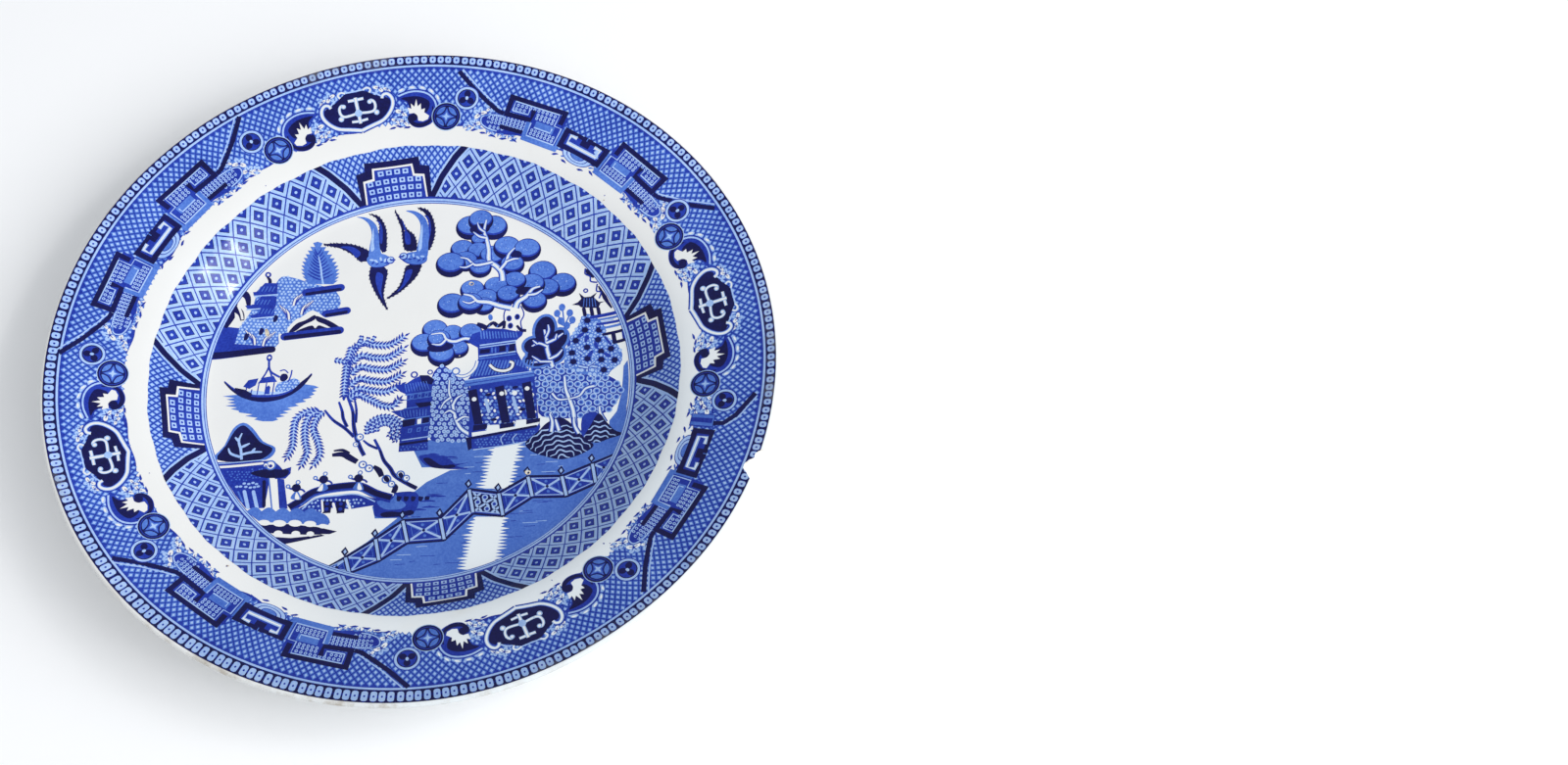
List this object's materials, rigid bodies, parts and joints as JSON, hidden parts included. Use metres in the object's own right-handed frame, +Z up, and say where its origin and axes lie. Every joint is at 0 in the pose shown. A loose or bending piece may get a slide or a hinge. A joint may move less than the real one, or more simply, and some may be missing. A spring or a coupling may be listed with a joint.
{
  "type": "chipped soup plate",
  "caption": "Round earthenware soup plate with a broad printed rim, steep-walled flat well, low foot ring and a chip bitten out of the lip.",
  "frame": {"origin": "on the plate's axis, at the level that the foot ring stands on", "axes": "+Z up out of the well, +X to the right and +Y to the far side as the picture in the well is seen upright"},
  "size_m": [0.248, 0.248, 0.029],
  "materials": {
    "clear_glaze": "gloss",
    "dark_blue_print": "gloss",
    "mid_blue_print": "gloss",
    "light_blue_print": "gloss",
    "pale_blue_print": "gloss",
    "broken_body": "matte",
    "staining": "matte"
  },
  "bodies": {
    "root": {"plate": "clear_glaze"}
  },
  "joints": []
}
